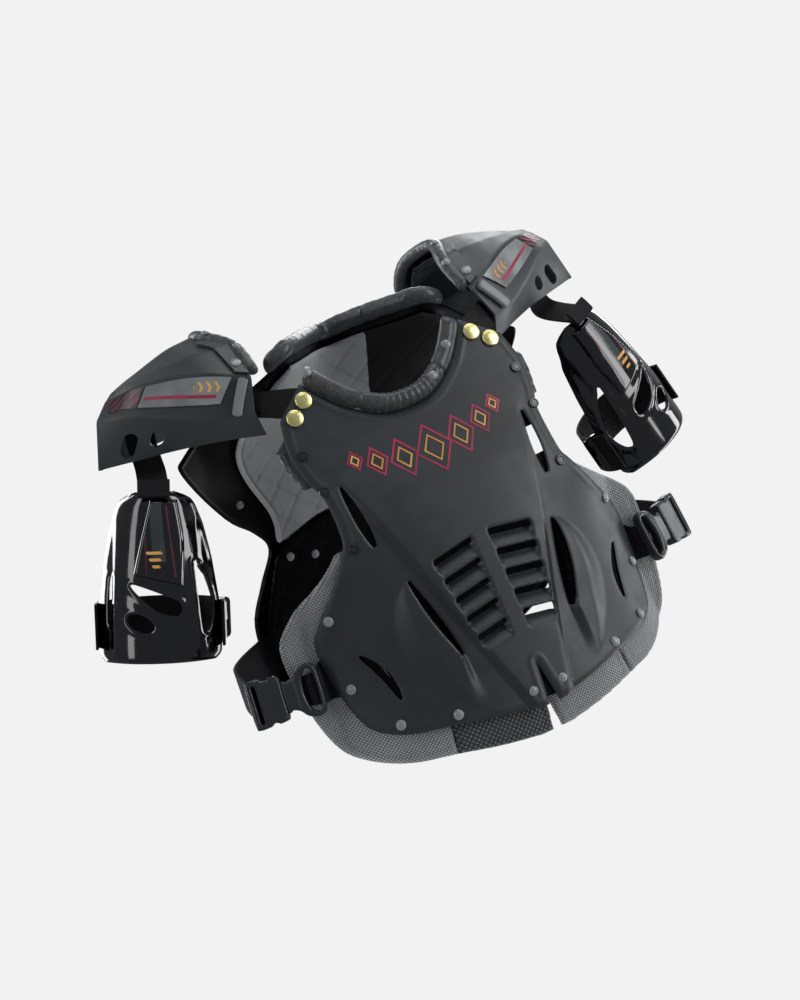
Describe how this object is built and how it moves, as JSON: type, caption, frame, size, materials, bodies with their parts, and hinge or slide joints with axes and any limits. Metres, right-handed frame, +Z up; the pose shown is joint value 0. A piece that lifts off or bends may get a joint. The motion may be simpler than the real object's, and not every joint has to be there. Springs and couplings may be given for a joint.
{
  "type": "roost deflector",
  "caption": "Moulded chest and back plates with mesh liners, shoulder caps, upper-arm guards on webbing and waist buckles, worn against flying stones.",
  "frame": {"origin": "between the tops of the shoulders, under the middle of the neck opening, where the protector sits on the wearer", "axes": "+Z up the wearer's back, -Y out of the chest, +X to the right as seen from the front"},
  "size_m": [0.6288, 0.3063, 0.4162],
  "materials": {
    "shell_plastic": "fine moulded grain, charcoal",
    "gloss_plastic": "glossy black",
    "buckle_plastic": "satin dark grey",
    "panel_film": "grey satin film with crimson accents",
    "pad_mesh": "coarse diagonal air mesh over foam",
    "leatherette": "grained artificial leather over foam",
    "webbing": "black woven elastic webbing",
    "gold_metal": "polished pale gold",
    "dark_metal": "dull grey"
  },
  "bodies": {
    "root": {"arm_band_left": "webbing", "arm_band_right": "webbing", "back_pad": "pad_mesh", "back_shell": "gloss_plastic", "bicep_guard_left": "gloss_plastic", "bicep_guard_right": "gloss_plastic", "bicep_strap_left": "webbing", "bicep_strap_right": "webbing", "bottom_pad_left": "pad_mesh", "bottom_pad_right": "pad_mesh", "buckle_plug_left": "buckle_plastic", "buckle_plug_right": "buckle_plastic", "buckle_socket_left": "buckle_plastic", "buckle_socket_right": "buckle_plastic", "chest_pad": "pad_mesh", "chest_shell": "shell_plastic", "cup_bar_left": "shell_plastic", "cup_bar_right": "shell_plastic", "cup_lining_left": "leatherette", "cup_lining_right": "leatherette", "cup_panel_left": "panel_film", "cup_panel_right": "panel_film", "guard_panel_left": "gloss_plastic", "guard_panel_right": "gloss_plastic", "hip_pad_left": "pad_mesh", "hip_pad_right": "pad_mesh", "kidney_pad": "pad_mesh", "neck_roll_back": "leatherette", "neck_roll_front": "leatherette", "rivet_1_left": "dark_metal", "rivet_1_right": "dark_metal", "rivet_2_left": "dark_metal", "rivet_2_right": "dark_metal", "rivet_3_left": "dark_metal", "rivet_3_right": "dark_metal", "rivet_4_left": "dark_metal", "rivet_4_right": "dark_metal", "rivet_5_left": "dark_metal", "rivet_5_right": "dark_metal", "rivet_6_left": "dark_metal", "rivet_6_right": "dark_metal", "rivet_7_left": "dark_metal", "rivet_7_right": "dark_metal", "shoulder_bolster_left": "leatherette", "shoulder_bolster_right": "leatherette", "shoulder_cup_left": "shell_plastic", "shoulder_cup_right": "shell_plastic", "shoulder_web_left": "webbing", "shoulder_web_right": "webbing", "snap_button_1_left": "gold_metal", "snap_button_1_right": "gold_metal", "snap_button_2_left": "gold_metal", "snap_button_2_right": "gold_metal", "waist_web_front_left": "webbing", "waist_web_front_right": "webbing", "waist_web_rear_left": "webbing", "waist_web_rear_right": "webbing"}
  },
  "joints": []
}
